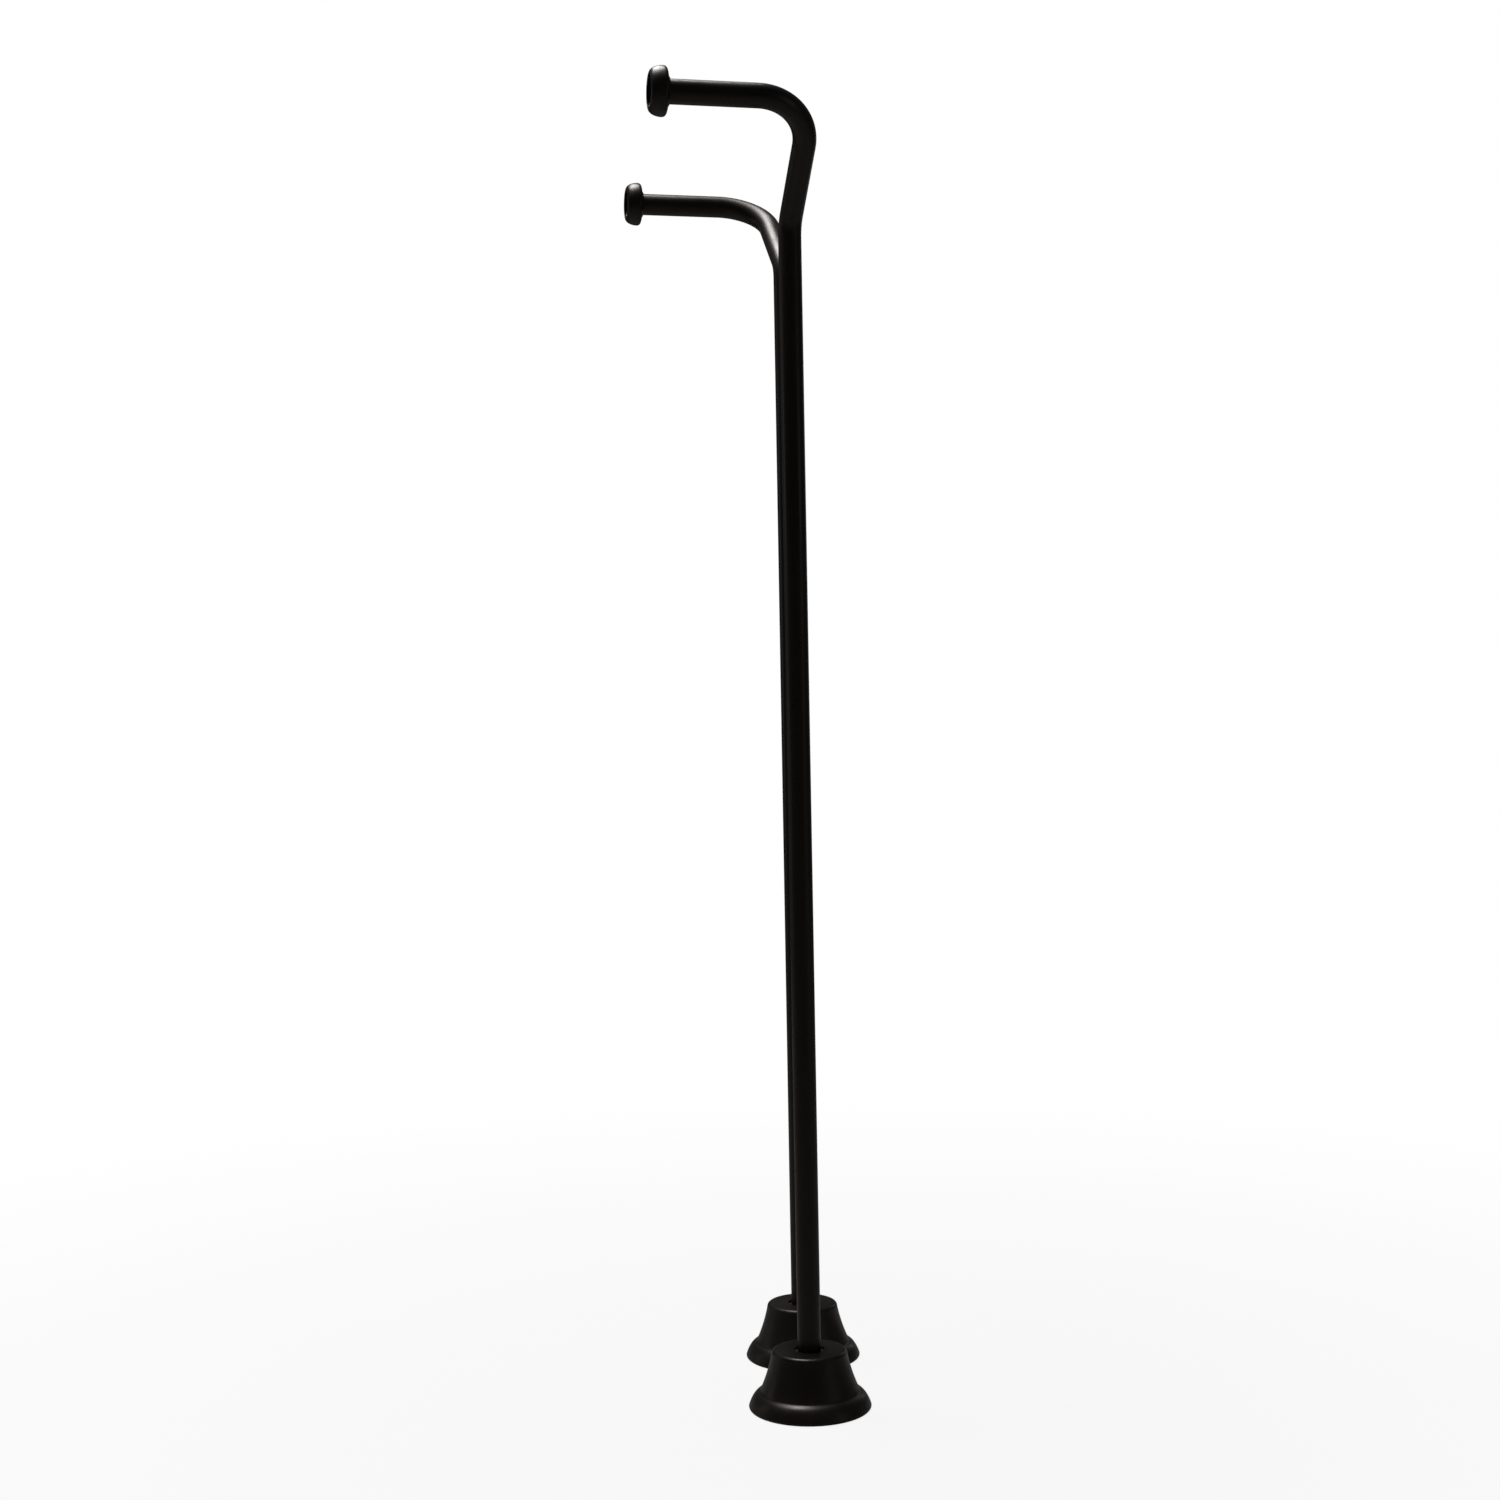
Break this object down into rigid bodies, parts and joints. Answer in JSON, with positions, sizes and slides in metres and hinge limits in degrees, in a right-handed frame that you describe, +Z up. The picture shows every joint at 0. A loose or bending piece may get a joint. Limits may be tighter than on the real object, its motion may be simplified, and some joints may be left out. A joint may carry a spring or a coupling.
{
  "type": "bath supply lines",
  "caption": "Freestanding bath supply lines: bent tubes in bell-shaped floor flanges, leaning outwards to short arms with domed union nuts.",
  "frame": {"origin": "on the floor, at the middle of the box around both lines", "axes": "+Z up along the risers, +Y the way the arms point, +X from the left line to the right one"},
  "size_m": [0.2986, 0.1703, 0.8892],
  "materials": {
    "satin_black_metal": "satin black plating on brass",
    "bare_brass": "machined",
    "black_rubber": "matt"
  },
  "bodies": {
    "supply_pair": {"left_riser_tube": "satin_black_metal", "left_tube_collar": "bare_brass", "left_nut_washer": "black_rubber", "left_floor_adapter": "bare_brass", "right_riser_tube": "satin_black_metal", "right_tube_collar": "bare_brass", "right_nut_washer": "black_rubber", "right_floor_adapter": "bare_brass"},
    "left_union": {"left_union_nut": "satin_black_metal"},
    "left_ring": {"left_flange_ring": "black_rubber"},
    "left_flange": {"left_floor_flange": "satin_black_metal"},
    "left_ferrule": {"left_ferrule": "bare_brass"},
    "left_gland": {"left_compression_nut": "bare_brass"},
    "right_union": {"right_union_nut": "satin_black_metal"},
    "right_ring": {"right_flange_ring": "black_rubber"},
    "right_flange": {"right_floor_flange": "satin_black_metal"},
    "right_ferrule": {"right_ferrule": "bare_brass"},
    "right_gland": {"right_compression_nut": "bare_brass"}
  },
  "joints": [
    {"name": "left_union_nut_spin", "type": "hinge", "parent": "supply_pair", "child": "left_union", "pos_m": [-0.13337, 0.07215, 0.87325], "axis": [0, 1, 0], "continuous": true},
    {"name": "left_flange_slide", "type": "slide", "parent": "supply_pair", "child": "left_ring", "axis": [0, 0, 1], "range_m": [0, 0.76]},
    {"name": "left_flange_spin", "type": "hinge", "parent": "left_ring", "child": "left_flange", "pos_m": [-0.058, -0.02215, 0], "axis": [0, 0, 1], "continuous": true},
    {"name": "left_ferrule_slide", "type": "slide", "parent": "supply_pair", "child": "left_ferrule", "axis": [0, 0, 1], "range_m": [0, 0.008]},
    {"name": "left_compression_nut_turn", "type": "hinge", "parent": "left_ferrule", "child": "left_gland", "pos_m": [-0.058, -0.02215, 0.00001], "axis": [0, 0, 1], "range_deg": [0, 2057]},
    {"name": "right_union_nut_spin", "type": "hinge", "parent": "supply_pair", "child": "right_union", "pos_m": [0.13337, 0.05115, 0.87325], "axis": [0, 1, 0], "continuous": true},
    {"name": "right_flange_slide", "type": "slide", "parent": "supply_pair", "child": "right_ring", "axis": [0, 0, 1], "range_m": [0, 0.76]},
    {"name": "right_flange_spin", "type": "hinge", "parent": "right_ring", "child": "right_flange", "pos_m": [0.058, -0.04315, 0], "axis": [0, 0, 1], "continuous": true},
    {"name": "right_ferrule_slide", "type": "slide", "parent": "supply_pair", "child": "right_ferrule", "axis": [0, 0, 1], "range_m": [0, 0.008]},
    {"name": "right_compression_nut_turn", "type": "hinge", "parent": "right_ferrule", "child": "right_gland", "pos_m": [0.058, -0.04315, 0.00001], "axis": [0, 0, 1], "range_deg": [0, 2057]}
  ],
  "couplings": [
    {"joint": "left_ferrule_slide", "follows": "left_compression_nut_turn", "m_per_rad": 0.00022282},
    {"joint": "right_ferrule_slide", "follows": "right_compression_nut_turn", "m_per_rad": 0.00022282}
  ]
}
